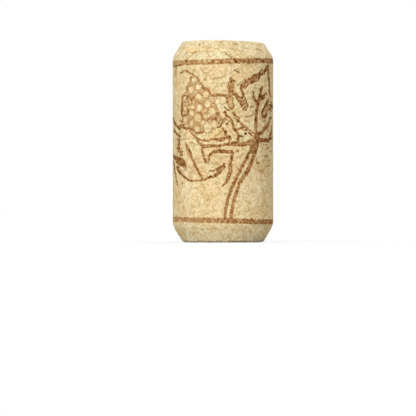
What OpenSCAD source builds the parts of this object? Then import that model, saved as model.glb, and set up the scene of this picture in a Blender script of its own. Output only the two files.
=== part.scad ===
// Straight wine cork: one solid stopper, ground to a rounded chamfer at both ends.
// It stands on its lower end. The origin is the middle of that end, and +Z runs up the axis.

/* [Body] */
// Diameter of the straight side
cork_d = 22; // [18:0.5:26]
// Length from end face to end face
cork_l = 44; // [32:1:54]

/* [Ends] */
// Height of each chamfer, along the axis
chamfer_h = 3.7; // [2:0.1:6]
// Width of each chamfer, across the end
chamfer_w = 2.1; // [1:0.1:4]
// Radius of the round between an end face and its chamfer
rim_r = 1.0; // [0.5:0.1:3.5]
// Radius of the round between a chamfer and the side
shoulder_r = 4.2; // [1:0.1:8]

/* [Hidden] */
$fn = 128;

cork_colour = [0.91, 0.81, 0.61];
cork_r = cork_d / 2;

// Each arc is drawn this much larger than its round, so that it crosses the edges beside it cleanly
arc_lap = 0.0005;

// Corners of the lower end before they are rounded, as [distance from the axis, height]
rim_corner = [cork_r - chamfer_w, 0];
shoulder_corner = [cork_r, chamfer_h];

// The chamfer's slope between those corners, and the angle that the outline turns at each
slope_l = norm(shoulder_corner - rim_corner);
slope_dir = (shoulder_corner - rim_corner) / slope_l;
shoulder_turn = atan2(chamfer_w, chamfer_h);
rim_turn = 90 - shoulder_turn;

// How far each round reaches along the edges beside its corner, at most half of the slope
rim_reach = min(rim_r * tan(rim_turn / 2), slope_l / 2);
shoulder_reach = min(shoulder_r * tan(shoulder_turn / 2), slope_l / 2);

// The same point at the upper end
function at_upper_end(point) = [point[0], cork_l - point[1]];

// What a round takes off a corner. The outline comes in along arriving, goes out along leaving,
// and has the solid on its left.
module corner_waste(corner, arriving, leaving, reach, turn) {
    arc_start = corner - reach * arriving;
    arc_end = corner + reach * leaving;
    arc_r = reach / tan(turn / 2);
    to_centre = [-arriving[1], arriving[0]];
    beyond_corner = corner + reach * (arriving - leaving);
    difference() {
        polygon([arc_start, beyond_corner, arc_end]);
        translate(arc_start + arc_r * to_centre) circle(r = arc_r + arc_lap);
    }
}

// What both rounds take off the lower end
module end_waste() {
    corner_waste(rim_corner, [1, 0], slope_dir, rim_reach, rim_turn);
    corner_waste(shoulder_corner, slope_dir, [0, 1], shoulder_reach, shoulder_turn);
}

// Half of the cork's lengthwise section, from the axis out
module half_section() {
    difference() {
        polygon([
            [0, 0],
            rim_corner,
            shoulder_corner,
            at_upper_end(shoulder_corner),
            at_upper_end(rim_corner),
            [0, cork_l],
        ]);
        end_waste();
        translate([0, cork_l]) mirror([0, 1]) end_waste();
    }
}

module cork() {
    color(cork_colour) rotate_extrude() half_section();
}

cork();
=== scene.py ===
import math

import bpy
import numpy as np
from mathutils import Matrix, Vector


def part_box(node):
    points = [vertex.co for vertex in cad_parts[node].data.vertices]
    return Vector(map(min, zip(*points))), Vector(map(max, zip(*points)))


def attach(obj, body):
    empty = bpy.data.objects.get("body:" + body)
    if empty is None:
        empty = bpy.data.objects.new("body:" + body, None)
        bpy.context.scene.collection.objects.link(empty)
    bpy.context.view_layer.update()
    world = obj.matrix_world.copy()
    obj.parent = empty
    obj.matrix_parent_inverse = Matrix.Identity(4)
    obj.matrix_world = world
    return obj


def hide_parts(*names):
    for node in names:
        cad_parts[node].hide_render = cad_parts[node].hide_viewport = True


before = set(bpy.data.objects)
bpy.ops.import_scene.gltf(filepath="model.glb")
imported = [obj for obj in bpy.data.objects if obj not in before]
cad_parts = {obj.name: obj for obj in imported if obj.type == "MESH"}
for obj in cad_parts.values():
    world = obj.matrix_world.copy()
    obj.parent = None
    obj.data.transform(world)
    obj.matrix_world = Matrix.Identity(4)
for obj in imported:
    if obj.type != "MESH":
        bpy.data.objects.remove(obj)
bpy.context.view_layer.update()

# Sizes are in millimetres. The frame gives the cork's own, and the ends repeat the solid's.
MM = 0.001
cork_low, cork_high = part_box("cork")
CORK_R = round((cork_high.x - cork_low.x) / 2 / MM, 1)
CORK_L = round(cork_high.z / MM, 1)
CHAMFER_H = 3.7
CHAMFER_W = 2.1
RIM_R = 1.0
SHOULDER_R = 4.2

# The upper end was cut a little out of square and crowned. From TOP_SLOPE_FROM up, it falls by TOP_SLOPE
# towards +X, and by TOP_CROWN with the square of X.
TOP_SLOPE = 0.016
TOP_CROWN = 0.003
TOP_SLOPE_FROM = 41.0

# The mesh: columns round the axis, rows from one flat end to the other, and steps along an arc. A point of a
# flat end's grid that is within RIM_SLACK of the rim lies on it.
COLUMNS = 360
ROWS = 232
ARC_STEPS = 24
RIM_SLACK = 1e-9

# Room round each part of the bake map's sheet
SHEET_GAP = 0.5

# The printed ring near each end: its height above that end, its width, how far it rises towards +X, its ink
# load, and how much that grows towards +X
RING_FROM_END = 4.75
RING_W = 1.05
RING_RISE = 0.28
RING_LOAD = 0.86
RING_GROWTH = 0.25

# The printed motif goes round the cork this many times. No place looks further than FAR for a shape's edge,
# and a stroke's curve is taken in steps of PATH_STEP.
MOTIFS = 2
PERIOD = 2 * math.pi * CORK_R / MOTIFS
FAR = 1.5
PATH_STEP = 0.1

# Strokes of the printed vine. Each has its ink load and width, then points of (along the side, height), with
# a third number where a point has its own width. The way along the side starts in the middle of the front,
# and runs towards +X.
VINE = [
    # The tendril, and the outline of the bunch
    (1.0, 0.3, (-10.4, 36.95, 0.2), (-9.8, 37.3), (-8.4, 37.05), (-7.6, 36.7), (-7.0, 36.3)),
    (0.9, 0.35, (-7.75, 35.4, 0.4), (-7.4, 36.0, 0.3), (-6.7, 36.25, 0.3), (-6.0, 35.85),
        (-5.45, 35.2, 0.45), (-5.0, 34.55, 0.4), (-4.65, 34.2), (-4.65, 33.6, 0.45), (-4.95, 33.1)),
    (0.85, 0.4, (-4.6, 33.5), (-3.9, 33.3, 0.5), (-3.3, 33.3), (-3.0, 32.5), (-2.55, 31.95), (-2.0, 31.6)),
    (0.75, 0.4, (-7.75, 35.7, 0.35), (-7.85, 34.9), (-8.25, 34.2, 0.5), (-8.8, 33.55, 0.5), (-8.95, 32.8),
        (-9.5, 32.35, 0.3), (-10.2, 31.95, 0.3)),
    (1.3, 0.4, (-10.35, 31.8), (-10.4, 31.0, 0.55), (-10.45, 30.3, 0.6), (-10.55, 29.6, 0.7),
        (-10.6, 28.7, 0.65), (-10.5, 28.0, 0.6), (-10.25, 27.4, 0.5), (-10.15, 26.7)),
    # Marks among the grapes
    (1.1, 0.3, (-10.4, 31.85), (-9.5, 31.95), (-9.0, 31.95, 0.25)),
    (1.1, 0.3, (-9.0, 31.3), (-8.6, 31.55, 0.4), (-8.1, 31.95)),
    (1.05, 0.45, (-10.0, 27.6), (-9.0, 27.65, 0.5), (-8.5, 28.1, 0.5), (-8.2, 28.7)),
    (1.1, 0.35, (-6.6, 31.3, 0.3), (-7.0, 31.5), (-7.4, 31.1), (-7.35, 30.1)),
    (1.0, 0.35, (-4.8, 27.6), (-4.75, 27.1), (-4.5, 26.7), (-4.0, 26.4)),
    (0.9, 0.25, (-6.9, 28.8), (-6.0, 28.35, 0.3), (-5.1, 28.1, 0.35)),
    (1.0, 0.3, (-5.6, 30.6), (-5.1, 30.1, 0.35)),
    (0.9, 0.3, (-2.2, 30.25), (-1.9, 30.1, 0.35)),
    (0.8, 0.3, (-10.2, 30.4), (-9.3, 30.4, 0.45), (-8.4, 30.4, 0.35)),
    (0.5, 0.4, (-2.0, 31.15, 0.35), (-1.6, 29.75), (-1.3, 28.6), (-0.9, 27.6, 0.45)),
    # The lower edge of the bunch
    (1.15, 0.25, (-11.5, 26.55), (-11.0, 26.4), (-10.2, 26.25, 0.35)),
    (1.05, 0.4, (-8.9, 24.6, 0.45), (-8.4, 24.75, 0.3), (-7.8, 24.75, 0.35), (-7.3, 24.5), (-6.9, 24.35),
        (-6.4, 23.95), (-5.8, 23.7, 0.35), (-5.1, 23.75, 0.45), (-4.5, 23.8, 0.3)),
    (0.8, 0.3, (-7.9, 24.3), (-7.3, 24.05)),
    (0.95, 0.4, (-7.5, 23.8), (-6.9, 23.35, 0.45), (-6.4, 22.9, 0.5), (-5.8, 22.55, 0.45), (-5.0, 22.25),
        (-4.0, 22.1, 0.35), (-3.1, 22.1), (-2.4, 22.5, 0.35), (-1.9, 22.5, 0.5)),
    (1.2, 0.4, (-0.25, 24.8, 0.2), (0.0, 24.55, 0.3), (0.3, 24.25, 0.35), (0.5, 24.1, 0.6),
        (0.55, 23.6, 0.5), (0.6, 23.2), (1.0, 22.9)),
    (1.2, 0.4, (-2.1, 22.4), (-1.5, 22.35, 0.35), (-0.6, 22.3, 0.9), (0.1, 22.5, 0.7), (0.7, 22.55, 0.55),
        (1.2, 22.75, 0.5)),
    (1.25, 0.4, (1.0, 22.95), (1.45, 23.0, 0.45), (1.75, 22.7, 0.3), (1.4, 22.1), (1.2, 21.5)),
    # The rough patch beside the bunch
    (1.15, 0.4, (-0.85, 28.1, 0.35), (-0.95, 27.6), (-1.4, 27.2), (-2.0, 26.95)),
    (1.15, 0.4, (-3.4, 26.6), (-2.6, 26.7, 0.55), (-1.8, 26.75, 0.5)),
    (1.4, 0.25, (-1.0, 25.85), (-0.7, 25.7), (-0.4, 25.45, 0.35), (-0.7, 25.15), (-1.0, 24.95, 0.35)),
    # The bar from the bunch to the leaf, the bud over it and the tail under it
    (0.85, 0.55, (-2.1, 31.7, 0.5), (-1.3, 31.95), (-0.5, 31.95, 0.6), (0.3, 31.85, 0.6), (1.1, 31.75),
        (1.9, 31.6, 0.45)),
    (1.3, 0.4, (2.1, 32.9, 0.35), (2.45, 32.5, 0.35), (2.95, 32.05), (3.4, 31.65), (3.9, 31.4), (4.4, 31.5),
        (4.75, 31.75)),
    (1.0, 0.25, (1.45, 35.8), (1.85, 35.65), (2.1, 35.25, 0.3)),
    (1.4, 0.4, (1.45, 34.85), (1.9, 34.9), (2.2, 35.05, 0.25), (2.6, 35.1, 0.25)),
    (1.0, 0.2, (1.3, 34.5), (1.0, 33.6), (1.1, 32.8, 0.25)),
    (1.2, 0.35, (1.1, 32.8), (1.7, 32.85), (2.3, 32.65, 0.45)),
    (1.35, 0.3, (1.3, 31.6), (1.95, 31.55, 0.35)),
    (1.0, 0.25, (0.75, 31.35, 0.35), (0.85, 30.7), (1.1, 30.0), (1.4, 29.4, 0.3), (1.75, 29.0, 0.3)),
    (1.2, 0.35, (2.15, 31.3, 0.25), (2.15, 30.6, 0.25), (2.3, 29.9), (2.2, 29.3), (1.9, 29.0)),
    # The small lobe with its rungs, and the left edge of the leaf
    (1.1, 0.35, (2.3, 31.95, 0.25), (2.9, 31.55), (3.3, 31.0), (3.65, 30.35), (3.95, 29.75, 0.3),
        (4.15, 29.4, 0.2)),
    (1.3, 0.5, (4.05, 33.9, 0.15), (3.85, 33.55, 0.25), (4.05, 33.2, 0.45), (4.3, 32.7), (4.5, 32.2, 0.6),
        (4.75, 31.75)),
    (1.15, 0.35, (4.95, 31.2), (5.15, 30.8), (5.4, 30.35), (5.6, 29.9, 0.3), (5.6, 29.5), (5.3, 29.1, 0.4)),
    (1.1, 0.25, (4.3, 29.0), (4.8, 28.8, 0.4), (5.2, 28.75)),
    (1.2, 0.2, (3.7, 30.6), (4.4, 30.6), (5.0, 30.75, 0.25)),
    (1.2, 0.2, (4.0, 29.75, 0.25), (4.6, 29.95), (5.2, 30.3)),
    (1.1, 0.3, (4.7, 29.2), (5.2, 29.3, 0.35), (5.5, 29.6)),
    # The top and the right edge of the leaf
    (1.4, 0.3, (4.05, 34.15), (4.6, 34.5), (5.1, 34.75, 0.45), (5.6, 35.25), (5.85, 35.5, 0.35),
        (6.2, 35.4), (6.6, 35.6, 0.35), (7.1, 36.1, 0.4), (7.6, 36.4, 0.35), (8.3, 36.35, 0.4),
        (8.9, 36.9, 0.4), (9.3, 37.4, 0.35), (9.7, 37.6, 0.25)),
    (1.45, 0.4, (4.3, 33.65, 0.3), (5.1, 33.6, 0.3), (5.4, 33.95), (5.85, 34.4), (6.6, 34.65, 0.5),
        (7.2, 34.95, 0.45), (8.0, 35.1, 0.55), (8.5, 35.5, 0.5), (8.9, 36.1, 0.5), (9.4, 36.55),
        (10.1, 36.5), (10.6, 36.8, 0.45), (10.9, 37.3, 0.7), (11.4, 37.9, 0.6), (11.9, 38.3, 0.5)),
    (1.4, 0.5, (10.9, 37.3), (11.7, 37.45), (12.2, 37.2)),
    (1.3, 0.45, (5.05, 34.8), (4.95, 35.15, 0.35), (4.95, 35.45, 0.2)),
    (1.05, 0.7, (12.2, 38.4, 0.8), (12.3, 37.3, 0.9), (12.4, 36.3, 0.8), (12.5, 35.65, 0.95), (12.85, 35.1),
        (12.8, 34.3, 0.95), (12.95, 33.5, 0.75), (12.95, 32.65, 1.0), (13.4, 32.2), (13.8, 31.9)),
    # The leaf's veins, its notch and the marks at its right edge
    (1.5, 0.8, (7.8, 26.2), (7.85, 26.6, 0.9), (7.9, 27.5), (8.0, 28.5, 0.65), (8.25, 29.4, 0.7),
        (8.5, 30.2), (8.85, 31.0), (8.95, 31.9, 0.7), (9.2, 32.7, 0.85), (9.5, 33.3), (9.85, 33.7, 0.45)),
    (1.0, 0.8, (8.0, 23.6), (7.95, 24.1, 0.7), (7.8, 24.7), (7.8, 25.6, 0.9), (7.8, 26.3, 0.9)),
    (1.15, 0.7, (8.0, 30.2), (7.8, 30.7, 0.6), (7.4, 31.2, 0.5), (7.2, 31.7, 0.4), (7.1, 32.2, 0.35)),
    (1.5, 0.5, (9.2, 31.65, 0.4), (9.9, 31.75), (10.6, 32.05), (11.4, 32.4, 0.45)),
    (1.35, 0.5, (8.9, 30.8), (9.5, 31.0, 0.4), (10.1, 31.25), (10.6, 31.6, 0.4)),
    (1.5, 0.7, (12.4, 30.9, 0.5), (12.15, 30.6, 0.75), (11.5, 30.1), (11.0, 29.7, 0.65), (10.6, 29.3, 0.65),
        (10.15, 28.75, 0.65), (9.85, 28.3), (9.7, 27.7, 0.6), (9.9, 27.3, 0.5), (10.4, 27.2, 0.55),
        (10.9, 27.4), (11.35, 27.85, 0.6), (11.8, 28.1, 0.35)),
    (1.2, 0.3, (10.0, 27.9), (10.5, 27.6)),
    (1.35, 0.4, (11.5, 28.8, 0.35), (12.1, 28.9, 0.45), (12.8, 29.1), (13.6, 29.15)),
    (1.7, 0.35, (13.1, 29.95), (14.0, 29.8, 0.6), (16.0, 29.4, 0.55)),
    (1.3, 0.4, (13.6, 30.55), (14.8, 30.4)),
    # The ribs below the leaf
    (1.35, 0.8, (8.2, 23.3, 0.9), (9.0, 23.65), (9.8, 23.95), (10.4, 24.55, 0.85), (11.2, 24.9, 0.95),
        (12.0, 25.4), (12.5, 25.9), (12.9, 26.4, 0.7), (13.3, 26.95, 0.5), (14.4, 27.2, 0.4)),
    (1.5, 0.75, (8.2, 22.3, 0.7), (9.2, 22.25), (10.4, 22.2, 0.8), (11.5, 22.2, 0.9), (12.3, 22.05, 0.8),
        (13.0, 22.5), (14.0, 22.6, 0.6), (15.0, 22.9, 0.5)),
    (1.5, 0.6, (13.0, 23.2), (13.6, 23.6, 1.0), (14.4, 24.0, 0.8), (14.6, 25.2, 0.5)),
    (1.2, 0.55, (2.15, 28.15, 0.25), (2.5, 27.8, 0.45), (3.0, 27.3), (3.4, 26.75), (3.4, 26.3, 0.5)),
    (0.6, 0.3, (2.2, 27.6), (2.7, 26.9), (3.1, 26.35)),
    (0.8, 0.4, (3.5, 26.4, 0.5), (3.95, 25.8, 0.45), (4.5, 25.4), (5.3, 25.0), (5.85, 24.55),
        (6.4, 24.1, 0.35), (7.0, 23.8, 0.35), (7.6, 23.6)),
    (1.25, 0.35, (5.2, 24.4), (5.6, 24.65, 0.3)),
    (0.95, 0.3, (5.9, 23.75), (6.5, 23.4), (7.1, 23.0, 0.4)),
    (1.1, 0.55, (3.35, 21.8), (3.4, 22.6), (3.3, 23.3, 0.5), (3.05, 23.95, 0.45), (2.7, 24.4, 0.5),
        (2.3, 25.0), (2.05, 25.8, 0.5), (1.8, 26.6, 0.4), (1.3, 27.15, 0.4), (0.8, 27.5, 0.4),
        (0.5, 28.2, 0.35), (0.3, 28.5, 0.25)),
    (1.1, 0.4, (2.9, 24.4, 0.35), (3.6, 24.65), (4.4, 24.9)),
    (0.6, 0.25, (4.2, 24.4), (5.1, 24.35, 0.3)),
    # The shelf under the ribs, the loop under it and the trunk
    (1.2, 0.4, (7.0, 21.2, 0.5), (5.8, 21.2), (4.5, 21.1, 0.45), (3.0, 21.1, 0.35), (1.8, 21.2, 0.35),
        (1.1, 21.3, 0.55), (0.2, 21.1, 0.55), (-1.0, 21.05), (-2.0, 21.05, 0.35), (-3.0, 20.95, 0.6),
        (-4.2, 20.75, 0.5), (-4.7, 20.5)),
    (0.9, 0.4, (-3.0, 20.8), (-2.0, 20.7, 0.3), (-0.8, 20.65, 0.25)),
    (1.15, 0.4, (7.1, 22.4), (6.5, 22.25, 0.35), (6.0, 22.0, 0.3), (5.2, 21.85, 0.25), (4.6, 21.7, 0.2)),
    (1.15, 0.3, (1.55, 21.5), (2.1, 21.65, 0.35), (3.0, 21.75, 0.35), (3.4, 21.6)),
    (1.15, 0.35, (-6.0, 22.1), (-5.6, 21.75, 0.4), (-5.2, 21.3, 0.55), (-4.7, 21.15, 0.5)),
    (1.1, 0.5, (-4.7, 20.4), (-4.6, 19.8), (-4.5, 19.2), (-4.3, 18.5), (-4.1, 17.75), (-3.8, 17.4, 0.45),
        (-3.4, 17.45, 0.4), (-3.1, 18.0, 0.4), (-3.0, 18.7), (-2.5, 19.45, 0.6), (-1.6, 19.75, 0.7),
        (-0.7, 19.75, 0.8), (0.2, 19.7, 0.75), (1.2, 19.7, 0.75), (2.0, 19.6, 0.6), (1.95, 18.9, 0.6),
        (1.8, 18.1, 0.6), (1.6, 17.2, 0.6), (1.5, 16.4, 0.75), (1.6, 15.5, 0.9), (1.4, 14.8, 0.7),
        (1.15, 14.2, 0.7), (0.8, 13.2, 0.6), (-0.2, 12.2, 0.3)),
    (0.8, 0.3, (-4.0, 18.1), (-3.2, 18.15)),
    (1.3, 0.45, (6.6, 21.1), (6.35, 20.5, 0.35), (6.1, 19.9, 0.4), (5.8, 19.3)),
    (1.3, 0.5, (8.2, 23.1), (8.4, 22.2, 0.4), (8.45, 21.6), (8.25, 20.9, 0.4), (8.1, 20.3, 0.4),
        (7.8, 19.8), (7.5, 19.4, 0.6)),
    # The two stems, with a twig
    (1.0, 0.65, (5.75, 19.2), (5.4, 18.4, 0.7), (4.9, 17.7, 0.6), (4.5, 17.0), (4.3, 16.6, 0.75),
        (3.95, 16.0), (3.6, 15.3, 0.7), (3.25, 14.7, 0.75), (2.8, 13.8, 0.7), (2.0, 12.0), (1.1, 9.6, 0.6),
        (0.5, 6.6, 0.6), (0.4, 4.8, 0.6)),
    (1.0, 0.85, (7.4, 19.4, 1.0), (7.1, 18.6), (6.75, 17.8), (6.45, 17.2, 0.8), (6.15, 16.5, 0.8),
        (5.7, 15.8, 0.95), (5.25, 15.1, 0.95), (4.6, 14.4), (3.6, 12.7, 0.75), (2.5, 9.6, 0.7),
        (1.9, 6.6, 0.65), (1.8, 4.8, 0.65)),
    (0.6, 0.2, (2.5, 16.1, 0.15), (3.0, 16.25), (3.4, 16.05), (3.9, 16.1)),
    # The tip of the lower leaf
    (1.15, 0.5, (-9.2, 21.6, 0.3), (-8.95, 21.1), (-8.5, 20.4, 0.65), (-8.0, 19.8, 0.65), (-7.6, 19.2),
        (-7.4, 18.5), (-7.0, 17.8, 0.55), (-6.65, 17.2, 0.6), (-6.35, 16.5, 0.6), (-5.9, 15.9),
        (-5.5, 15.2), (-5.0, 14.5), (-4.3, 13.5, 0.4)),
    (1.2, 0.5, (0.3, 17.3, 0.25), (0.2, 16.8, 0.35), (-0.3, 16.4), (-0.9, 16.1), (-1.5, 15.85, 0.45),
        (-2.2, 15.55, 0.3), (-3.0, 15.6, 0.2)),
    (1.2, 0.4, (0.4, 16.4, 0.35), (0.0, 15.9), (-0.6, 15.3, 0.5), (-1.2, 14.8, 0.55), (-2.0, 14.4, 0.5),
        (-2.9, 14.15, 0.5), (-3.8, 13.8), (-4.3, 13.5)),
    (0.8, 0.3, (-0.3, 16.0), (-1.2, 15.35, 0.35), (-2.0, 14.9)),
    # What comes in from the next motif
    (1.3, 0.5, (-18.6, 29.6), (-16.0, 27.2, 0.6), (-14.4, 26.1, 0.7), (-13.6, 25.7, 0.7),
        (-12.9, 25.4, 0.6), (-12.2, 25.0, 0.45), (-11.6, 24.75), (-11.2, 24.65, 0.35)),
    (1.4, 0.2, (-10.8, 25.75), (-10.3, 25.6, 0.35), (-9.75, 25.35, 0.3)),
    (1.1, 0.55, (-11.8, 25.35, 0.35), (-11.2, 25.25), (-10.4, 25.05, 0.5), (-9.6, 24.9), (-8.9, 24.6, 0.5)),
    (1.4, 0.55, (-14.8, 24.5, 0.6), (-13.8, 24.1), (-13.0, 23.75, 0.5), (-12.2, 23.35), (-11.6, 23.15, 0.5),
        (-11.1, 23.1, 0.35)),
    (1.3, 0.3, (-12.6, 22.7), (-12.0, 22.3, 0.4), (-11.5, 22.2, 0.6), (-11.2, 22.2, 0.35)),
    (1.2, 0.35, (-12.5, 21.2), (-11.6, 21.45, 0.55), (-11.1, 21.45)),
    (1.25, 0.4, (-12.8, 20.35), (-12.0, 20.5, 0.65), (-11.5, 20.75, 0.45)),
    (1.2, 0.35, (-12.3, 19.85), (-11.5, 19.65, 0.3), (-11.0, 19.75), (-10.3, 19.75, 0.3)),
    (1.1, 0.5, (-11.6, 23.1), (-11.65, 22.1, 0.6), (-11.75, 21.05, 0.7), (-11.6, 20.2, 0.7), (-10.9, 19.6),
        (-10.45, 19.05, 0.4)),
    (1.25, 0.4, (-11.2, 18.95), (-10.5, 18.9, 0.35)),
    (1.2, 0.4, (-15.6, 19.0), (-13.0, 18.65, 0.35), (-11.2, 18.3), (-10.1, 17.8), (-9.4, 17.1, 0.5),
        (-9.1, 16.4)),
    (1.2, 0.3, (-12.8, 17.25), (-12.0, 17.05, 0.4), (-10.6, 16.8, 0.5), (-9.4, 16.3, 0.45)),
    (1.35, 0.5, (-13.0, 16.5, 0.4), (-12.2, 15.8), (-11.3, 15.2, 0.55), (-10.4, 14.75), (-9.7, 14.35),
        (-8.8, 13.8, 0.4), (-7.2, 13.4, 0.35), (-4.3, 13.5, 0.25)),
    (1.3, 0.4, (-12.5, 16.3), (-11.8, 16.3, 0.5)),
    (0.5, 0.25, (-11.6, 15.9), (-10.2, 15.6), (-9.0, 15.7, 0.2)),
    (1.3, 0.65, (-15.4, 17.6), (-14.5, 16.7, 0.9), (-14.0, 15.6), (-13.4, 14.6, 0.6), (-12.4, 12.6, 0.5)),
    # Stray lines along the ring
    (1.5, 0.6, (-14.6, 38.45), (-13.2, 38.5), (-12.4, 38.6, 0.4)),
    (1.3, 0.25, (-14.8, 39.25, 0.4), (-13.2, 39.25, 0.35), (-12.0, 39.35, 0.3), (-9.5, 39.45),
        (-8.0, 39.45)),
    (1.3, 0.3, (-12.6, 38.55, 0.5), (-11.2, 38.6, 0.55), (-10.0, 38.7), (-8.7, 38.75), (-7.5, 38.75, 0.2)),
    (1.15, 0.3, (-2.1, 39.5), (-2.0, 39.2), (-1.6, 38.9, 0.25), (0.4, 38.95), (1.0, 38.9, 0.2)),
]

# Grapes of the bunch as (along the side, height, width). The bunch's tan field is a rim round each, and
# inside it a grape is a little paler than the cork.
GRAPES = [
    (-6.85, 35.2, 1.24), (-5.55, 33.75, 1.24), (-7.6, 33.1, 1.36), (-3.85, 32.15, 1.44), (-5.6, 31.5, 1.44),
    (-9.35, 31.4, 1.04), (-7.85, 30.5, 0.72), (-6.9, 30.55, 0.64), (-3.5, 30.05, 1.44), (-5.35, 29.2, 1.5),
    (-9.3, 29.1, 1.1), (-7.4, 28.0, 1.24), (-2.45, 28.4, 1.5), (-5.7, 27.0, 1.7), (-4.1, 27.4, 0.8),
    (-3.2, 27.5, 0.6), (-9.35, 26.6, 1.4), (-7.5, 26.0, 1.04), (-7.6, 25.3, 0.5), (-3.5, 25.8, 0.5),
    (-5.9, 24.6, 1.3), (-3.4, 24.8, 1.7), (-1.95, 25.6, 1.2),
]
GRAPE_RIM = 0.5
GRAPE_PALE = 0.2
BUNCH_LOAD = 0.53

# Lighter fields under the strokes, each with its ink load, width and points as a stroke has
FIELDS = [
    # The bud, the tail, the left end of the bar, the bunch, the lobe and the upper rib
    (0.85, 0.6, (1.65, 35.6), (1.75, 34.9, 0.9), (1.75, 34.2, 1.3), (1.75, 33.5, 1.5), (1.75, 32.8, 1.4),
        (1.7, 32.0, 1.1)),
    (0.25, 0.9, (1.5, 31.0), (1.7, 29.5, 0.6)),
    (0.5, 0.6, (-2.2, 31.2), (-1.4, 31.25, 0.5)),
    (0.75, 0.5, (-8.6, 31.6), (-7.7, 31.6, 0.7), (-7.0, 31.35)),
    (0.5, 0.7, (3.5, 31.3), (4.2, 30.6, 1.1), (4.9, 29.6, 1.0)),
    (0.65, 0.5, (2.2, 28.0), (2.8, 27.2, 0.9), (3.3, 26.4, 0.8)),
    # The leaf and its notch
    (0.95, 1.0, (4.3, 33.9, 0.6), (5.0, 34.15, 0.9), (5.7, 34.6), (6.5, 35.05), (7.3, 35.6, 1.2),
        (8.1, 35.85, 1.2), (8.9, 36.45, 0.9), (9.6, 36.95, 1.1), (10.5, 37.1, 0.7), (11.3, 37.7),
        (12.1, 38.2)),
    (0.85, 0.5, (9.2, 31.3), (10.2, 31.6)),
    (0.95, 0.6, (11.6, 29.7), (12.4, 29.8, 0.8), (13.4, 29.6)),
    (0.55, 1.2, (10.9, 28.5, 0.9), (11.8, 28.8), (13.0, 29.0, 1.4), (14.4, 29.1)),
    # The trunk and the shelf
    (1.12, 1.4, (8.2, 22.9), (8.1, 22.3, 2.0), (7.6, 21.6, 2.1), (7.4, 20.7, 1.9), (7.1, 19.9, 1.8)),
    (0.85, 0.7, (2.0, 21.4, 0.6), (4.0, 21.4), (5.4, 21.5), (6.6, 21.7, 0.9)),
    (0.8, 0.4, (-5.3, 21.6), (-4.8, 21.3, 0.7), (-4.0, 21.1)),
    # What comes in from the next motif, and the lower leaf
    (1.4, 0.7, (-15.6, 18.9), (-14.0, 18.5, 0.9), (-13.0, 18.0, 1.1), (-12.0, 17.75, 1.4),
        (-11.2, 17.55, 1.5), (-10.3, 17.5, 1.6), (-9.6, 16.9, 1.0)),
    (0.5, 0.7, (-9.0, 20.6, 0.5), (-8.5, 19.7, 0.9), (-7.9, 18.8, 0.8), (-7.2, 17.8), (-6.7, 17.0)),
    (0.6, 0.6, (-11.3, 23.3), (-11.15, 24.1, 0.45)),
    (0.6, 0.6, (-12.3, 20.9), (-11.6, 21.0, 0.8)),
    # Haze and smears, and painted shade near the edge towards -X under the upper ring
    (0.1, 5.4, (-7.5, 16.6, 4.0), (-3.0, 16.8), (2.0, 17.0), (4.5, 17.4, 3.0)),
    (0.28, 0.9, (-0.6, 27.3), (-0.1, 26.5, 1.3), (0.5, 26.8)),
    (0.5, 0.5, (-3.1, 26.0), (-2.8, 25.4, 0.4), (-2.3, 24.9, 0.3)),
    # Painted shade: a dark patch near the edge towards -X, under the upper ring
    (0.7, 0.8, (-13.1, 38.3), (-13.3, 37.2, 1.0), (-13.5, 36.25, 0.7)),
]

# Spots where the ink ran together, and spots that it missed, as (along the side, height, width)
BLOTS = [
    (-7.75, 35.4, 0.4), (-8.8, 33.5, 0.45), (-8.95, 32.85, 0.4), (-4.35, 29.5, 0.4), (-10.45, 29.4, 0.45),
    (-8.25, 28.6, 0.4), (-10.4, 28.2, 0.4), (-8.25, 25.9, 0.35), (-9.9, 25.45, 0.4), (-9.6, 24.85, 0.4),
    (-11.6, 24.65, 0.45), (-11.5, 22.35, 0.55), (-11.5, 21.4, 0.45), (-8.2, 20.1, 0.4), (-11.6, 18.3, 0.5),
    (-9.85, 17.2, 0.5), (-10.4, 16.8, 0.4), (-9.15, 16.6, 0.4), (-11.0, 19.75, 0.5), (-12.0, 16.35, 0.45),
    (-11.4, 15.2, 0.4), (-5.3, 14.9, 0.35), (-2.9, 14.3, 0.4), (-1.7, 14.6, 0.35), (-1.4, 15.9, 0.4),
    (-4.3, 20.65, 0.35), (2.3, 34.3, 0.4), (1.5, 33.4, 0.35), (1.75, 34.8, 0.35), (5.05, 34.85, 0.35),
    (6.6, 34.65, 0.55), (6.5, 35.55, 0.35), (7.9, 35.85, 0.35), (9.6, 36.6, 0.45), (10.85, 37.25, 0.55),
    (12.3, 37.3, 0.45), (12.5, 35.65, 0.45), (12.85, 34.35, 0.45), (12.95, 32.7, 0.4), (7.85, 30.65, 0.5),
    (9.2, 32.8, 0.4), (8.95, 31.9, 0.4), (10.1, 31.25, 0.35), (12.2, 30.6, 0.5), (11.4, 29.95, 0.4),
    (10.6, 29.35, 0.35), (9.85, 28.35, 0.45), (10.9, 27.4, 0.55), (11.35, 27.9, 0.45), (7.95, 28.6, 0.4),
    (7.85, 26.5, 0.55), (3.35, 26.25, 0.4), (4.4, 25.0, 0.35), (5.35, 24.45, 0.4), (2.75, 24.4, 0.4),
    (3.35, 22.75, 0.4), (0.65, 24.0, 0.4), (0.3, 21.15, 0.6), (1.4, 22.9, 0.4), (1.1, 21.4, 0.4),
    (12.2, 22.05, 0.55), (13.2, 22.6, 0.5), (8.35, 21.6, 0.45), (7.6, 19.7, 0.5), (5.7, 19.1, 0.4),
    (5.5, 18.4, 0.4), (6.75, 17.9, 0.45), (6.5, 17.3, 0.4), (4.45, 16.75, 0.4), (5.4, 15.2, 0.4),
    (1.85, 18.15, 0.35), (-0.8, 19.85, 0.4), (-8.7, 39.35, 0.4), (-8.2, 38.75, 0.35), (-2.1, 39.3, 0.45),
    (-0.4, 39.0, 0.4), (2.9, 39.05, 0.5), (2.4, 39.5, 0.4), (6.1, 39.05, 0.35), (8.3, 39.7, 0.5),
    (9.6, 39.7, 0.35), (10.2, 39.25, 0.55),
]
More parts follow.
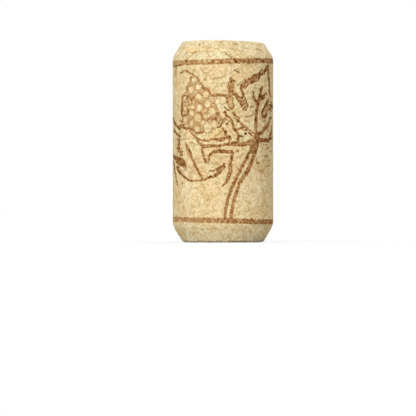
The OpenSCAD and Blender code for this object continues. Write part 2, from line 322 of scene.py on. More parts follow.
MISSES = [
    (1.7, 32.3, 0.45), (5.75, 35.0, 0.3), (5.3, 34.35, 0.3), (9.7, 36.95, 0.4), (10.6, 28.25, 0.4),
    (-11.5, 17.35, 0.45), (-10.4, 17.6, 0.35), (7.3, 22.35, 0.35), (-1.5, 39.2, 0.35), (-1.0, 39.2, 0.35),
    (0.3, 39.5, 0.3), (1.7, 39.2, 0.35), (3.4, 39.4, 0.3), (5.4, 39.15, 0.35), (6.6, 39.15, 0.3),
    (8.4, 39.35, 0.3), (8.9, 39.45, 0.25), (-12.9, 38.95, 0.3), (-5.4, 39.35, 0.7), (-2.9, 39.4, 0.5),
]

# Granules of a paler and of a warmer tone, each with its strength, width and points as a stroke has
PALE = [
    (1.0, 0.8, (-2.6, 40.75), (-1.8, 40.75, 1.2), (-1.1, 40.75, 0.9)),
    (0.7, 1.2, (-5.8, 27.2), (-5.6, 26.8)),
    (0.4, 0.9, (-12.8, 32.2), (-12.6, 30.4, 1.0)),
    (0.45, 1.0, (-2.4, 33.7), (-1.5, 33.9, 1.3), (-0.6, 33.4, 1.1)),
    (0.4, 0.8, (6.2, 32.6), (6.35, 31.3, 0.9), (6.3, 30.3, 0.7)),
    (0.6, 1.0, (-1.3, 30.6), (-0.5, 29.9, 1.6), (0.2, 29.2, 1.3)),
    (0.6, 0.6, (4.4, 22.5), (5.6, 22.8, 0.8), (6.4, 22.6, 0.5)),
    (0.6, 0.7, (-4.3, 17.0), (-3.0, 17.0, 0.8)),
    (0.8, 0.35, (2.6, 40.3), (2.9, 40.2)),
]
WARM = [
    (0.75, 1.0, (-2.3, 23.2), (-1.1, 23.8, 1.5), (0.1, 24.5, 1.1)),
    (0.8, 0.9, (-9.8, 41.8), (-8.3, 41.7, 1.3), (-6.8, 41.4)),
    (0.6, 0.7, (-9.0, 42.3), (-7.4, 42.3, 0.9)),
    (0.8, 0.8, (1.5, 31.0), (1.75, 29.7, 0.6)),
    (0.7, 0.7, (-4.3, 28.8), (-3.8, 28.3)),
    (0.6, 0.3, (6.0, 26.8), (6.9, 26.8, 0.35)),
]

# The cork's own dark streaks, each with its strength, width and points as a stroke has
STREAKS = [
    # On the upper chamfer
    (0.75, 0.3, (0.4, 41.3, 0.2), (0.9, 40.75), (1.3, 40.4), (1.8, 40.1, 0.25)),
    (0.35, 0.4, (1.5, 40.9), (1.8, 40.65, 0.45)),
    (0.7, 0.4, (-6.4, 43.1), (-6.2, 42.95, 0.35)),
    (0.5, 0.4, (-5.5, 43.45), (-5.2, 43.35, 0.3)),
    (0.6, 0.3, (-7.6, 41.15), (-6.6, 41.4, 0.4)),
    (0.4, 0.3, (-8.0, 40.3), (-7.3, 40.7, 0.35)),
    (0.4, 0.4, (-12.2, 42.4), (-11.3, 42.4)),
    (0.5, 0.3, (9.2, 42.2), (10.0, 42.05, 0.4), (10.6, 41.6, 0.45)),
    (0.6, 0.35, (3.5, 43.35), (3.7, 43.2, 0.3)),
    (0.4, 0.35, (2.6, 43.3), (2.5, 43.1, 0.3)),
    # Between the ring and the bar
    (1.0, 0.4, (-10.9, 36.8), (-10.5, 36.8)),
    (0.8, 0.3, (2.5, 37.35), (3.1, 37.15), (3.5, 36.8, 0.4)),
    (0.6, 0.25, (3.2, 34.1, 0.35), (3.6, 34.4), (4.0, 34.8), (4.8, 35.1, 0.2)),
    (0.45, 0.3, (-5.1, 37.7), (-4.4, 36.95, 0.4), (-3.7, 36.6, 0.4), (-3.75, 35.8, 0.35), (-4.1, 35.3)),
    (0.4, 0.3, (-3.6, 36.6), (-3.0, 37.0), (-2.4, 37.4)),
    (0.6, 0.25, (-4.2, 35.35), (-4.0, 35.25)),
    (0.5, 0.3, (-2.3, 35.4), (-1.4, 35.65, 0.35), (-0.5, 35.75), (0.3, 36.2, 0.25)),
    (0.3, 0.4, (0.5, 36.5), (0.7, 36.3, 0.3)),
    (0.45, 0.3, (-7.0, 37.4), (-6.7, 37.4)),
    (0.35, 0.4, (-4.6, 37.7), (-3.6, 37.6)),
    (0.5, 0.2, (2.2, 36.1), (2.4, 36.2)),
    (0.45, 0.2, (2.8, 34.75), (2.95, 34.65, 0.25)),
    # Round the lobe and in the leaf
    (1.0, 0.25, (0.35, 29.4), (0.65, 28.95), (0.95, 28.75, 0.3), (1.3, 28.7, 0.3)),
    (0.4, 0.3, (-0.8, 30.15), (-0.1, 29.85)),
    (0.7, 0.5, (6.4, 29.35), (6.9, 29.6)),
    (0.4, 0.25, (3.2, 29.05), (3.6, 29.1)),
    (0.6, 0.3, (5.0, 27.35), (6.2, 27.45, 0.35), (7.2, 27.75)),
    (0.5, 0.3, (6.5, 28.5), (7.1, 28.2, 0.35)),
    (0.45, 0.35, (4.8, 26.35), (5.5, 26.35, 0.4), (6.1, 26.0, 0.3)),
    (0.4, 0.5, (7.6, 34.2), (7.45, 33.4)),
    (0.6, 0.3, (9.8, 26.3), (10.5, 26.35, 0.35), (11.1, 26.45)),
    (0.45, 0.25, (8.5, 26.85), (9.6, 26.7, 0.3), (10.6, 26.75)),
    (0.4, 0.25, (8.6, 28.75), (9.2, 28.65)),
    (0.5, 0.4, (11.9, 24.25), (12.5, 24.25)),
    # In the rough patch beside the bunch
    (1.0, 0.43, (0.75, 25.75), (0.95, 25.6)),
    (0.65, 0.38, (-0.65, 26.5), (-0.9, 26.2, 0.33)),
    (0.65, 0.38, (-0.05, 26.95), (0.05, 26.6, 0.33)),
    (0.65, 0.38, (0.5, 26.9), (0.6, 26.6, 0.33)),
    (0.65, 0.33, (-0.35, 25.95), (-0.2, 25.85)),
    (0.65, 0.38, (1.2, 26.4), (1.4, 26.2)),
    (0.65, 0.43, (-1.35, 27.95), (-1.25, 27.8, 0.38)),
    (0.65, 0.43, (-1.4, 26.6), (-1.2, 26.5, 0.38)),
    (0.65, 0.43, (-0.1, 26.2), (0.1, 26.1, 0.38)),
    (0.65, 0.43, (0.1, 28.2), (0.3, 28.0, 0.38)),
    (0.65, 0.43, (-0.6, 26.85), (-0.5, 26.7, 0.38)),
    # Below the bunch and the ribs
    (0.5, 0.3, (-2.0, 23.0), (-0.9, 23.5, 0.4), (-0.2, 24.2, 0.25)),
    (0.4, 0.25, (-1.2, 23.2), (-0.3, 23.7, 0.3)),
    (1.0, 0.4, (3.75, 23.15), (4.1, 23.05), (4.4, 22.95, 0.3)),
    (0.85, 0.4, (3.15, 19.85), (3.35, 19.85)),
    (0.4, 0.35, (-2.7, 17.1), (-1.8, 17.15, 0.4), (-0.9, 17.0, 0.3)),
    # At the lower right
    (0.9, 0.3, (11.2, 21.3), (12.0, 21.3)),
    (0.45, 0.3, (8.9, 21.9, 0.25), (9.9, 21.3), (10.7, 21.1)),
    (0.4, 0.25, (9.2, 20.9), (10.2, 20.4, 0.3), (10.9, 20.0)),
    (0.6, 0.5, (10.9, 18.75), (12.2, 18.8, 0.55)),
    (0.45, 0.3, (9.3, 19.8), (9.7, 19.8)),
    (0.55, 0.3, (10.0, 17.7), (10.6, 17.8)),
    (0.55, 0.3, (8.8, 15.5), (9.6, 15.6, 0.35), (10.6, 15.95)),
    (0.45, 0.25, (9.3, 15.25), (10.4, 15.4, 0.3)),
    (0.45, 0.3, (11.8, 17.85), (13.2, 17.7, 0.35)),
    (0.5, 0.35, (11.0, 16.5, 0.3), (12.0, 16.6), (13.2, 16.85)),
    (0.3, 0.45, (11.9, 15.2), (13.2, 15.0, 0.5)),
    (0.6, 0.3, (12.9, 19.8), (14.0, 19.9)),
    (0.6, 0.3, (11.4, 20.4), (12.4, 20.65, 0.4), (13.1, 21.1)),
    (0.85, 0.35, (7.8, 17.6, 0.25), (8.2, 17.3), (8.8, 17.2)),
    # At the lower left
    (0.45, 0.2, (-11.0, 22.4), (-9.8, 22.5, 0.25), (-8.8, 22.4), (-7.9, 22.55)),
    (0.6, 0.25, (-7.9, 21.65), (-7.3, 21.6, 0.3), (-6.8, 21.4)),
    (0.45, 0.2, (-10.0, 23.2), (-9.4, 23.4, 0.25), (-9.0, 23.9, 0.3)),
    (0.5, 0.3, (-10.9, 20.4), (-10.3, 20.5)),
]

# Deep pits, each with its depth, width and points as a stroke has
PITS = [
    (0.45, 0.5, (5.05, 23.6), (5.35, 23.6)),
]


def end_outline():
    """The lower end's outline from its flat face out to the side, as (distance from the axis, height)."""
    shoulder_turn = math.atan2(CHAMFER_W, CHAMFER_H)
    rim_turn = math.pi / 2 - shoulder_turn
    flat_r = CORK_R - CHAMFER_W - RIM_R * math.tan(rim_turn / 2)
    side_from = CHAMFER_H + SHOULDER_R * math.tan(shoulder_turn / 2)
    rim = np.linspace(-math.pi / 2, -shoulder_turn, ARC_STEPS)
    shoulder = np.linspace(-shoulder_turn, 0, ARC_STEPS)
    out = np.concatenate([flat_r + RIM_R * np.cos(rim), CORK_R - SHOULDER_R + SHOULDER_R * np.cos(shoulder)])
    up = np.concatenate([RIM_R + RIM_R * np.sin(rim), side_from + SHOULDER_R * np.sin(shoulder)])
    return out, up


def outline():
    """The side's outline from the lower flat face to the upper one, in even rows, and the way along it."""
    out, up = end_outline()
    out = np.concatenate([out, out[::-1]])
    up = np.concatenate([up, CORK_L - up[::-1]])
    way = np.concatenate([[0], np.cumsum(np.hypot(np.diff(out), np.diff(up)))])
    even = np.linspace(0, way[-1], ROWS + 1)
    return np.interp(even, way, out), np.interp(even, way, up), even


def disc_grid():
    """A square grid pulled round into a unit disc, as x and y with one row of the grid to each row."""
    steps = np.linspace(-1, 1, COLUMNS // 4 + 1)
    across, along = np.meshgrid(steps, steps)
    wide = np.abs(across) > np.abs(along)
    reach = np.where(wide, across, along)
    safe = np.where(reach == 0, 1, reach)
    turn = np.where(wide, math.pi / 4 * along / safe, math.pi / 2 - math.pi / 4 * across / safe)
    return reach * np.cos(turn), reach * np.sin(turn)


def smooth_path(points):
    """A smooth curve through given points, as close steps of (along the side, height, width)."""
    knots = np.array([points[0], *points, points[-1]], float)
    pieces = []
    for before, start, end, after in zip(knots, knots[1:], knots[2:], knots[3:]):
        count = max(2, math.ceil(math.dist(start[:2], end[:2]) / PATH_STEP))
        t = np.linspace(0, 1, count, endpoint=False)[:, None]
        linear = (end - before) * t
        square = (2 * before - 5 * start + 4 * end - after) * t**2
        cube = (3 * (start - end) + after - before) * t**3
        pieces.append(start + (linear + square + cube) / 2)
    return np.vstack([*pieces, knots[-1:]])


def gap_to_path(along, height, path):
    """Distance of each place from a path's edge, negative inside it, and FAR where it is further off."""
    middle = path[:, 0].mean()
    beside = (along - middle + PERIOD / 2) % PERIOD - PERIOD / 2 + middle
    low = path[:, :2].min(0) - FAR
    high = path[:, :2].max(0) + FAR
    near = (beside > low[0]) & (beside < high[0]) & (height > low[1]) & (height < high[1])
    steps = np.hypot(beside[near, None] - path[:, 0], height[near, None] - path[:, 1]) - path[:, 2] / 2
    gap = np.full(along.shape, FAR)
    gap[near] = np.minimum(steps.min(1), FAR)
    return gap


def nearer(layer, gap, amount):
    """A layer's gaps and amounts with one more shape on it, where that shape is nearer."""
    old_gap, old_amount = layer
    return np.minimum(old_gap, gap), np.where(gap < old_gap, amount, old_amount)


def nearest_stroke(along, height, strokes):
    """Distance of each place from the edge of the nearest stroke, and that stroke's first value."""
    layer = np.full(along.shape, FAR), np.zeros(along.shape)
    for amount, width, *points in strokes:
        path = smooth_path([(*point, width)[:3] for point in points])
        layer = nearer(layer, gap_to_path(along, height, path), amount)
    return layer


def nearest_spot(along, height, spots):
    """Distance of each place from the edge of the nearest round spot of (along the side, height, width)."""
    gap = np.full(along.shape, FAR)
    for spot in spots:
        gap = np.minimum(gap, gap_to_path(along, height, np.array([spot])))
    return gap


def add_values(mesh, name, values):
    """Gives the mesh a value at each vertex, for its nodes to read."""
    mesh.attributes.new(name, "FLOAT", "POINT").data.foreach_set("value", values.astype(np.float32))


def add_print(mesh, angle, height):
    """Values for the print, the tones and the pits at each vertex of the side, and none on the flat ends."""
    side = ~np.isnan(angle)
    along = CORK_R * angle[side]
    z = height[side]
    drawings = {"ink": VINE, "field": FIELDS, "pale": PALE, "warm": WARM, "streak": STREAKS, "pit": PITS}
    layers = {name: nearest_stroke(along, z, strokes) for name, strokes in drawings.items()}
    to_right = np.sin(angle[side])
    rise = RING_RISE * to_right
    for ring_z in (RING_FROM_END - rise, CORK_L - RING_FROM_END + rise):
        ring = np.abs(z - ring_z) - RING_W / 2
        layers["ink"] = nearer(layers["ink"], ring, RING_LOAD * (1 + RING_GROWTH * to_right))
    grape = nearest_spot(along, z, GRAPES)
    layers["field"] = nearer(layers["field"], np.maximum(grape - GRAPE_RIM, -grape), BUNCH_LOAD)
    layers["pale"] = nearer(layers["pale"], grape, GRAPE_PALE)
    values = {
        "blot_gap": (nearest_spot(along, z, BLOTS), FAR),
        "miss_gap": (nearest_spot(along, z, MISSES), FAR),
    }
    for name, (gap, amount) in layers.items():
        values[name + "_gap"] = (gap, FAR)
        values[name + "_amount"] = (amount, 0.0)
    for name, (on_side, bare) in values.items():
        whole = np.full(angle.shape, bare)
        whole[side] = on_side
        add_values(mesh, name, whole)


def cell_corners(grid):
    """The four corners of each cell of a grid, in turn."""
    corners = np.stack([grid[:-1, :-1], grid[:-1, 1:], grid[1:, 1:], grid[1:, :-1]], axis=2)
    return corners.reshape(-1, 4, *grid.shape[2:])


def add_bake_map(mesh, corners):
    """A UV map from each face corner's place on one square sheet."""
    sheet = 2 * math.pi * CORK_R + 2 * SHEET_GAP
    mesh.uv_layers.new(name="OFBake").data.foreach_set("uv", (corners / sheet).astype(np.float32).ravel())


def leaning(x, z):
    """Heights with the upper end cut out of square and crowned."""
    lean = np.clip((z - TOP_SLOPE_FROM) / (CORK_L - TOP_SLOPE_FROM), 0, 1)
    fall = TOP_SLOPE * x + TOP_CROWN * x**2
    return z - lean * (fall - fall.min())


# This sets the deeper relief at the ends, and the painted highlight that pales the cork towards them
def toward_end(z):
    """How far out on an end each height lies, from 0 on the straight side to 1 at a flat end."""
    side_z = end_outline()[1][-1]
    return np.clip((np.abs(z - CORK_L / 2) - CORK_L / 2 + side_z) / side_z, 0, 1)


def cork_mesh():
    """The cork's surface: the outline turned round the axis, closed by a grid at each flat end."""
    out, up, way = outline()
    angle = -math.pi + 2 * math.pi * np.arange(COLUMNS) / COLUMNS
    rings = len(out)
    x = np.outer(out, np.sin(angle)).ravel()
    y = np.outer(out, -np.cos(angle)).ravel()
    z = np.repeat(up, COLUMNS)
    vertex_angle = np.tile(angle, rings)
    ring = np.arange(rings * COLUMNS).reshape(rings, COLUMNS)
    faces = [cell_corners(np.hstack([ring, ring[:, :1]]))]
    round_way = CORK_R * np.linspace(0, 2 * math.pi, COLUMNS + 1)
    sheet = [cell_corners(np.stack(np.meshgrid(round_way, way), axis=-1) + SHEET_GAP)]

    grid_x, grid_y = disc_grid()
    inside = np.hypot(grid_x, grid_y) < 1 - RIM_SLACK
    turns = (np.arctan2(grid_x, -grid_y) + math.pi) / (2 * math.pi)
    column = np.round(turns * COLUMNS).astype(int) % COLUMNS
    for row, order, sheet_x in ((0, -1, out[0]), (rings - 1, 1, 3 * out[0] + SHEET_GAP)):
        index = ring[row][column]
        index[inside] = len(x) + np.arange(inside.sum())
        x = np.concatenate([x, grid_x[inside] * out[row]])
        y = np.concatenate([y, grid_y[inside] * out[row]])
        z = np.concatenate([z, np.full(inside.sum(), up[row])])
        vertex_angle = np.concatenate([vertex_angle, np.full(inside.sum(), np.nan)])
        faces.append(cell_corners(index)[:, ::order])
        middle = (sheet_x + SHEET_GAP, way[-1] + out[0] + 2 * SHEET_GAP)
        sheet.append(cell_corners(np.stack([grid_x, grid_y], axis=-1) * out[row] + middle)[:, ::order])

    mesh = bpy.data.meshes.new("cork_body")
    mesh.from_pydata(np.stack([x, y, leaning(x, z)], axis=-1) * MM, [], np.concatenate(faces))
    mesh.shade_smooth()
    add_bake_map(mesh, np.concatenate(sheet))
    add_print(mesh, vertex_angle, z)
    # How far out on an end each vertex is, for the relief and for the painted highlight at the ends
    add_values(mesh, "toward_end", toward_end(z))
    return mesh


def add_object(name, data):
    """Puts an object into the scene."""
    thing = bpy.data.objects.new(name, data)
    bpy.context.scene.collection.objects.link(thing)
    return thing


# The values that a noise mostly keeps between
NOISE_RANGE = (0.25, 0.75)


class Nodes:
    """Adds nodes to one tree, of a material or of geometry, and hands back their sockets."""

    def __init__(self, tree):
        self.tree = tree

    def add(self, kind, **settings):
        node = self.tree.nodes.new(kind)
        for name, value in settings.items():
            setattr(node, name, value)
        return node

    def feed(self, node, inputs):
        """Links a node's inputs to sockets, or sets them to constant values."""
        for name, value in inputs.items():
            if isinstance(value, bpy.types.NodeSocket):
                self.tree.links.new(value, node.inputs[name])
            else:
                node.inputs[name].default_value = value

    def fed(self, kind, inputs, **settings):
        node = self.add(kind, **settings)
        self.feed(node, inputs)
        return node

    def math(self, operation, *values):
        return self.fed("ShaderNodeMath", dict(enumerate(values)), operation=operation).outputs[0]

    def fold(self, operation, values):
        """One operation on several values in turn."""
        total = values[0]
        for value in values[1:]:
            total = self.math(operation, total, value)
        return total

    def vector(self, operation, a, b):
        return self.fed("ShaderNodeVectorMath", {0: a, 1: b}, operation=operation).outputs[0]

    def scaled(self, vector, by):
        return self.fed("ShaderNodeVectorMath", {0: vector, "Scale": by}, operation="SCALE").outputs[0]

    def warp(self, place, size, amount):
        """A place moved by noise of one size, up to half of amount each way."""
        centred = self.vector("SUBTRACT", self.noise(place, size)[1], (0.5, 0.5, 0.5))
        return self.vector("ADD", place, self.scaled(centred, amount))

    def turn(self, place, by):
        """A place turned by a cell's random colour, so that each cell has its own direction."""
        inputs = {"Vector": place, "Rotation": self.scaled(by, 2 * math.pi)}
        return self.fed("ShaderNodeVectorRotate", inputs, rotation_type="EULER_XYZ").outputs[0]

    def noise(self, place, size, detail=2.0):
        """Noise of one size, as a value and as a colour."""
        node = self.fed("ShaderNodeTexNoise", {"Vector": place, "Scale": 1 / size, "Detail": detail})
        return node.outputs[0], node.outputs[1]

    def cells(self, place, size, feature="F1"):
        """Distance of the nearest cell, and its random colour."""
        node = self.fed("ShaderNodeTexVoronoi", {"Vector": place, "Scale": 1 / size}, feature=feature)
        return node.outputs[0], node.outputs[1]

    def share(self, colour, channel):
        """One channel of a cell's random colour, as that cell's own number from 0 to 1."""
        return self.fed("ShaderNodeSeparateXYZ", {0: colour}).outputs[channel]

    def fade(self, value, start, end, low=0.0, high=1.0):
        inputs = {"Value": value, "From Min": start, "From Max": end, "To Min": low, "To Max": high}
        return self.fed("ShaderNodeMapRange", inputs, interpolation_type="SMOOTHSTEP").outputs[0]

    def waver(self, place, size, reach, detail=2.0):
        """Noise of one size that mostly lies between -reach and reach."""
        return self.fade(self.noise(place, size, detail)[0], *NOISE_RANGE, -reach, reach)

    def mix(self, factor, a, b, blend="MIX"):
        """Two colours mixed, by the mix node's own sockets for colours."""
        inputs = {0: factor, 6: a, 7: b}
        return self.fed("ShaderNodeMix", inputs, data_type="RGBA", blend_type=blend).outputs[2]

    def ramp(self, value, stops):
        node = self.fed("ShaderNodeValToRGB", {0: value})
        elements = node.color_ramp.elements
        while len(elements) < len(stops):
            elements.new(1.0)
        for element, (position, colour) in zip(elements, stops):
            element.position = position
            element.color = (*colour, 1)
        return node.outputs[0]

    def tint(self, colour, value, stops):
        """A colour multiplied by the one that a value has on a ramp."""
        return self.mix(1.0, colour, self.ramp(value, stops), "MULTIPLY")

    def value(self, name):
        """A value that the mesh carries at its vertices."""
        if self.tree.type == "GEOMETRY":
            return self.fed("GeometryNodeInputNamedAttribute", {"Name": name}, data_type="FLOAT").outputs[0]
        return self.add("ShaderNodeAttribute", attribute_name=name).outputs["Fac"]

    def place(self):
        """The place on the cork, in millimetres."""
        if self.tree.type == "GEOMETRY":
            metres = self.add("GeometryNodeInputPosition").outputs[0]
        else:
            metres = self.add("ShaderNodeTexCoord").outputs["Object"]
        return self.scaled(metres, 1 / MM)


def new_material(name):
    """A material, its nodes and its shader."""
    material = bpy.data.materials.new(name)
    material.use_nodes = True
    return material, Nodes(material.node_tree), material.node_tree.nodes["Principled BSDF"]


# Mean sizes of the pressed granules and of the bits in them, and how their edges are warped: the size of the
# noise, and twice the most that it moves a place
GRANULE = 2.3
GRANULE_WARP = (1.3, 1.6)
BIT = 0.8
BIT_WARP = (0.5, 0.6)

# Small pits: the mean size of the cells that may hold one, the random number from which a cell does, the
# largest radius and the soft edge as shares of that size, and the depth
PIT_SPACING = 2.2
PIT_FROM = 0.9
PIT_R = 0.24
PIT_EDGE = 0.08
PIT_DEPTH = 0.28

# Short dashes in a granule: their width, and how much longer than wide they and the growth lines are
LINE_W = 0.32
LINE_STRETCH = 4.0

# Growth lines in a granule: the size of their waves, and how many lie between two extremes of a wave
GROWTH_WAVE = 1.5
GROWTH_LINES = 5

# Sizes of the cracks' waves and of the finest grain
CRACK_WAVE = 1.5
GRAIN = 0.26

# Thin marks: the distances at which each is full and ends, the size and detail of the noise that breaks it,
# and the values between which that lets it in
THIN_MARKS = {
    "seam": ((0.03, 0.12), (1.8, 2.0), (0.46, 0.6)),
    "crack": ((0.01, 0.05), (1.2, 1.0), (0.44, 0.54)),
    "growth": ((0.0, 0.25), (1.0, 1.0), (0.35, 0.55)),
}

# Relief: the values at which a mark is deepest and ends, with its depth, the depths of the thin marks, and
# how much of it all shows on the side and on a flat end
HOLLOWS = {
    "granule": (0.0, 1.0, 0.04),
    "bit": (0.0, 1.0, 0.03),
    "lines": (0.3, 0.6, 0.04),
    "grain": (0.3, 0.7, 0.04),
}
GROOVES = {"seam": 0.06, "crack": 0.06, "growth": 0.02}
SIDE_RELIEF = 0.8
END_RELIEF = 1.6

# Dark marks: the values at which a mark starts and is darkest, with its darkness, and that of the others
SHADES = {"lines": (0.5, 0.26, 0.4), "grain": (0.46, 0.24, 0.3), "bit": (0.2, 0.0, 0.2)}
STAINS = {"growth": 0.4, "seam": 0.35, "crack": 0.42, "pit": 0.75}

# Drawn layers: the distances from a shape's edge at which each starts and is full, and the size and reach of
# the noise that frays the edge, or that roughens the edge of a granule of another tone
EDGES = {
    "ink": (0.12, -0.04), "field": (0.12, -0.06), "blot": (0.2, -0.1), "miss": (0.2, -0.1),
    "streak": (0.14, -0.04), "pale": (0.12, -0.12), "warm": (0.12, -0.12), "pit": (0.06, -0.1),
}
FRAY = (0.4, 0.11)
ROUGH = (0.6, 0.3)

# Ink: the load at which it is darkest, the size of the noise that makes it uneven, the noise's values where
# it is fullest and barest, how many times its load a layer has there, and the same for a blot and a miss
INK_FULL = 2.3
UNEVEN_SIZE = 0.45
UNEVEN_RANGE = (0.3, 0.7)
UNEVEN = {"ink": (1.65, 0.42), "field": (1.4, 0.6)}
BLOT_LOAD = 1.6
MISS_LOAD = 0.35

# Colours of the granules and of a drawn pit, and those of another tone with how much of it they take
GRANULE_TONES = [
    (0.0, (0.79, 0.61, 0.34)),
    (0.25, (0.84, 0.66, 0.39)),
    (0.75, (0.865, 0.70, 0.43)),
    (1.0, (0.875, 0.725, 0.465)),
]
OTHER_TONES = {"pale": (0.8, (0.90, 0.82, 0.56, 1)), "warm": (0.7, (0.86, 0.61, 0.27, 1))}
PIT_TONE = (0.08, 0.05, 0.012, 1)

# Tints that multiply those colours: by granule, a painted highlight towards a flat end, along the dashes, by
# darkness and by ink
WHITE = (1.0, 1.0, 1.0)
GRANULE_TINTS = [(0.0, (1.0, 0.95, 0.87)), (0.5, WHITE), (1.0, (0.98, 1.0, 0.93))]
# Painted highlight: the cork turns paler and cooler towards each flat end
END_HIGHLIGHT_TINTS = [(0.0, WHITE), (1.0, (0.98, 1.06, 1.17))]
LINE_TINTS = [(0.5, WHITE), (0.75, (1.06, 1.07, 1.10))]
STAIN_TINTS = [
    (0.0, WHITE),
    (0.35, (0.72, 0.66, 0.52)),
    (0.6, (0.49, 0.40, 0.26)),
    (1.0, (0.26, 0.19, 0.075)),
]
INK_TINTS = [
    (0.0, WHITE),
    (0.2, (0.74, 0.62, 0.505)),
    (0.45, (0.49, 0.298, 0.17)),
    (0.7, (0.295, 0.14, 0.05)),
    (1.0, (0.13, 0.056, 0.011)),
]

# The matt surface, and the bumps of its finest grain
ROUGHNESS = 0.85
SHEEN = 0.1
BUMP_STRENGTH = 0.9
BUMP_DEPTH = 0.1


def granules(nodes):
    """The pressed granules at each place, the same for colour and for relief."""
    place = nodes.place()
    warped = nodes.warp(place, *GRANULE_WARP)
    crumbled = nodes.warp(place, *BIT_WARP)
    granule_colour = nodes.cells(warped, GRANULE)[1]
    bit_colour = nodes.cells(crumbled, BIT)[1]
    pit_distance, pit_colour = nodes.cells(crumbled, PIT_SPACING)
    pit_r = nodes.fade(nodes.share(pit_colour, 0), PIT_FROM, 1.0, 0.0, PIT_R)
    own_way = nodes.turn(crumbled, granule_colour)
    flow = nodes.vector("MULTIPLY", own_way, (1, 1, 1 / LINE_STRETCH))
    crack_wave = nodes.noise(crumbled, CRACK_WAVE, detail=1.0)[0]
    growth_wave = nodes.noise(flow, GROWTH_WAVE, detail=1.0)[0]
    cork = {
        "place": place,
        "granule": nodes.share(granule_colour, 0),
        "granule hue": nodes.share(granule_colour, 1),
        "bit": nodes.share(bit_colour, 0),
        "lines": nodes.noise(flow, LINE_W)[0],
        "pit": nodes.fade(nodes.math("SUBTRACT", pit_r, pit_distance), 0.0, PIT_EDGE),
        "drawn pit": nodes.fade(nodes.value("pit_gap"), *EDGES["pit"]),
        "grain": nodes.noise(place, GRAIN)[0],
        "fray": nodes.waver(place, *FRAY, detail=3.0),
    }
    distances = {
        "seam": nodes.math("MULTIPLY", nodes.cells(warped, GRANULE, "DISTANCE_TO_EDGE")[0], GRANULE),
        "crack": nodes.math("ABSOLUTE", nodes.math("SUBTRACT", crack_wave, 0.5)),
        "growth": nodes.math("PINGPONG", nodes.math("MULTIPLY", growth_wave, GROWTH_LINES), 0.5),
    }
    for name, distance in distances.items():
        (full, none), (size, detail), (start, end) = THIN_MARKS[name]
        shown = nodes.fade(nodes.noise(place, size, detail)[0], start, end)
        cork[name] = nodes.math("MULTIPLY", nodes.fade(distance, full, none, 1.0, 0.0), shown)
    return cork


def relief_tree():
    """Geometry nodes that raise and sink the granules, their seams and the pits along the normals."""
    tree = bpy.data.node_groups.new("cork_relief", "GeometryNodeTree")
    tree.interface.new_socket("Geometry", in_out="INPUT", socket_type="NodeSocketGeometry")
    tree.interface.new_socket("Geometry", in_out="OUTPUT", socket_type="NodeSocketGeometry")
    nodes = Nodes(tree)
    cork = granules(nodes)
    parts = [nodes.fade(cork[name], low, high, -depth, 0.0) for name, (low, high, depth) in HOLLOWS.items()]
    parts += [nodes.math("MULTIPLY", cork[name], -depth) for name, depth in GROOVES.items()]
    wear = nodes.fade(nodes.value("toward_end"), 0.0, 1.0, SIDE_RELIEF, END_RELIEF)
    worn = nodes.math("MULTIPLY", nodes.fold("ADD", parts), wear)
    pitted = nodes.math("ADD", worn, nodes.math("MULTIPLY", cork["pit"], -PIT_DEPTH))
    drawn_pit = nodes.math("MULTIPLY", cork["drawn pit"], nodes.value("pit_amount"))
    height = nodes.math("SUBTRACT", pitted, drawn_pit)
    normal = nodes.add("GeometryNodeInputNormal").outputs[0]
    offset = nodes.scaled(normal, nodes.math("MULTIPLY", height, MM))
    start = nodes.add("NodeGroupInput").outputs[0]
    moved = nodes.fed("GeometryNodeSetPosition", {"Geometry": start, "Offset": offset}).outputs[0]
    nodes.fed("NodeGroupOutput", {0: moved})
    return tree


def apply_relief(piece):
    """Bakes the relief into the piece's own mesh."""
    piece.modifiers.new("relief", "NODES").node_group = relief_tree()
    depsgraph = bpy.context.evaluated_depsgraph_get()
    flat_mesh = piece.data
    solid = piece.evaluated_get(depsgraph)
    piece.data = bpy.data.meshes.new_from_object(solid, preserve_all_data_layers=True, depsgraph=depsgraph)
    piece.modifiers.clear()
    bpy.data.meshes.remove(flat_mesh)
    piece.data.name = "cork_body"


def cover(nodes, name, frayed):
    """Cover of one drawn layer, from 0 to 1, with an edge that is frayed by noise."""
    return nodes.fade(nodes.math("ADD", nodes.value(name + "_gap"), frayed), *EDGES[name])


def drawn(nodes, name, frayed):
    """Amount of one drawn layer at each place."""
    return nodes.math("MULTIPLY", cover(nodes, name, frayed), nodes.value(name + "_amount"))


def cork_colour(nodes, cork):
    """The bare cork: granules of mixed tone with dashes, thin dark marks, streaks and pits, and a painted
    highlight towards the ends.
    """
    colour = nodes.ramp(cork["granule"], GRANULE_TONES)
    # Painted highlight: paler and cooler cork towards each flat end
    colour = nodes.tint(colour, nodes.value("toward_end"), END_HIGHLIGHT_TINTS)
    colour = nodes.tint(colour, cork["granule hue"], GRANULE_TINTS)
    rough = nodes.waver(cork["place"], *ROUGH)
    for name, (most, tone) in OTHER_TONES.items():
        colour = nodes.mix(nodes.math("MULTIPLY", drawn(nodes, name, rough), most), colour, tone)
    colour = nodes.tint(colour, cork["lines"], LINE_TINTS)
    darks = [drawn(nodes, "streak", cork["fray"])]
    darks += [nodes.fade(cork[name], start, end, 0.0, most) for name, (start, end, most) in SHADES.items()]
    darks += [nodes.math("MULTIPLY", cork[name], most) for name, most in STAINS.items()]
    colour = nodes.tint(colour, nodes.fold("MAXIMUM", darks), STAIN_TINTS)
    return nodes.mix(cork["drawn pit"], colour, PIT_TONE)


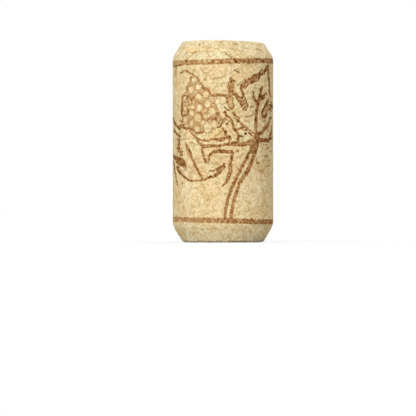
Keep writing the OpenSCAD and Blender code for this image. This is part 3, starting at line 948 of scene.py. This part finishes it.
def ink_amount(nodes, cork):
    """Ink that the cork took at each place: frayed strokes, uneven fields, blots and missed spots."""
    fray = cork["fray"]
    spots = nodes.noise(cork["place"], UNEVEN_SIZE, detail=3.0)[0]
    layers = []
    for name, (most, least) in UNEVEN.items():
        uneven = nodes.fade(spots, *UNEVEN_RANGE, most, least)
        layers.append(nodes.math("MULTIPLY", drawn(nodes, name, fray), uneven))
    blot = nodes.fade(cover(nodes, "blot", fray), 0.0, 1.0, 1.0, BLOT_LOAD)
    missed = nodes.fade(cover(nodes, "miss", fray), 0.0, 1.0, 1.0, MISS_LOAD)
    return nodes.fold("MULTIPLY", [nodes.fold("MAXIMUM", layers), blot, missed])


def cork_material():
    """Printed cork: the bare colour under the ink, matt, with fine bumps."""
    material, nodes, shader = new_material("printed_cork")
    cork = granules(nodes)
    ink = nodes.math("DIVIDE", ink_amount(nodes, cork), INK_FULL)
    bumps = {"Height": cork["grain"], "Strength": BUMP_STRENGTH, "Distance": BUMP_DEPTH * MM}
    nodes.feed(shader, {
        "Base Color": nodes.tint(cork_colour(nodes, cork), ink, INK_TINTS),
        "Roughness": ROUGHNESS,
        "Specular IOR Level": SHEEN,
        "Normal": nodes.fed("ShaderNodeBump", bumps).outputs[0],
    })
    return material


def make_cork():
    piece = add_object("cork_body", cork_mesh())
    apply_relief(piece)
    piece.data.materials.append(cork_material())
    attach(piece, "root")
    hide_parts("cork")


# The stage: a grey floor with a glow that only the camera sees, a white background, and a long lens. Each
# light has its strength and the way that it comes from, and spreads by LIGHT_SPREAD degrees.
FLOOR_HALF = 4000
FLOOR_GREY = 0.5
FLOOR_GLOW = 0.44
WORLD_LIGHT = 0.45
LIGHTS = {
    "key": (2.42, (-0.30, -0.92, 0.24)),
    "top": (1.65, (0.18, 0.35, 0.92)),
}
LIGHT_SPREAD = 45
CAMERA_AT = (-3.26, -1500.0, 7.5)
VIEW_W = 90.7
SENSOR = 36


def seen_directly(nodes):
    """1 for what the camera sees, also in a mirror or through glass, and 0 for light on the object."""
    path = nodes.add("ShaderNodeLightPath").outputs
    return nodes.fold("MAXIMUM", [path["Is Camera Ray"], path["Is Glossy Ray"], path["Is Transmission Ray"]])


def make_world():
    world = bpy.data.worlds.new("white")
    bpy.context.scene.world = world
    world.use_nodes = True
    nodes = Nodes(world.node_tree)
    strength = nodes.fade(seen_directly(nodes), 0.0, 1.0, WORLD_LIGHT, 1.0)
    nodes.feed(world.node_tree.nodes["Background"], {"Color": (*WHITE, 1), "Strength": strength})


def make_floor():
    mesh = bpy.data.meshes.new("floor")
    half = FLOOR_HALF * MM
    corners = [(-half, -half, 0), (half, -half, 0), (half, half, 0), (-half, half, 0)]
    mesh.from_pydata(corners, [], [(0, 1, 2, 3)])
    floor = add_object("floor", mesh)
    material, nodes, shader = new_material("white_floor")
    nodes.feed(shader, {
        "Base Color": (FLOOR_GREY, FLOOR_GREY, FLOOR_GREY, 1),
        "Roughness": 1.0,
        "Specular IOR Level": 0.0,
        "Emission Color": (*WHITE, 1),
        "Emission Strength": nodes.math("MULTIPLY", seen_directly(nodes), FLOOR_GLOW),
    })
    mesh.materials.append(material)


def make_lights():
    for name, (strength, comes_from) in LIGHTS.items():
        lamp = bpy.data.lights.new(name, "SUN")
        lamp.energy = strength
        lamp.angle = math.radians(LIGHT_SPREAD)
        light = add_object(name, lamp)
        light.rotation_mode = "QUATERNION"
        light.rotation_quaternion = Vector(comes_from).to_track_quat("Z", "Y")


def make_camera():
    lens = bpy.data.cameras.new("camera")
    lens.sensor_width = SENSOR
    lens.lens = SENSOR * -CAMERA_AT[1] / VIEW_W
    camera = add_object("camera", lens)
    camera.location = [value * MM for value in CAMERA_AT]
    camera.rotation_euler = (math.pi / 2, 0, 0)
    bpy.context.scene.camera = camera


make_cork()
make_world()
make_floor()
make_lights()
make_camera()
bpy.context.scene.view_settings.view_transform = "Standard"
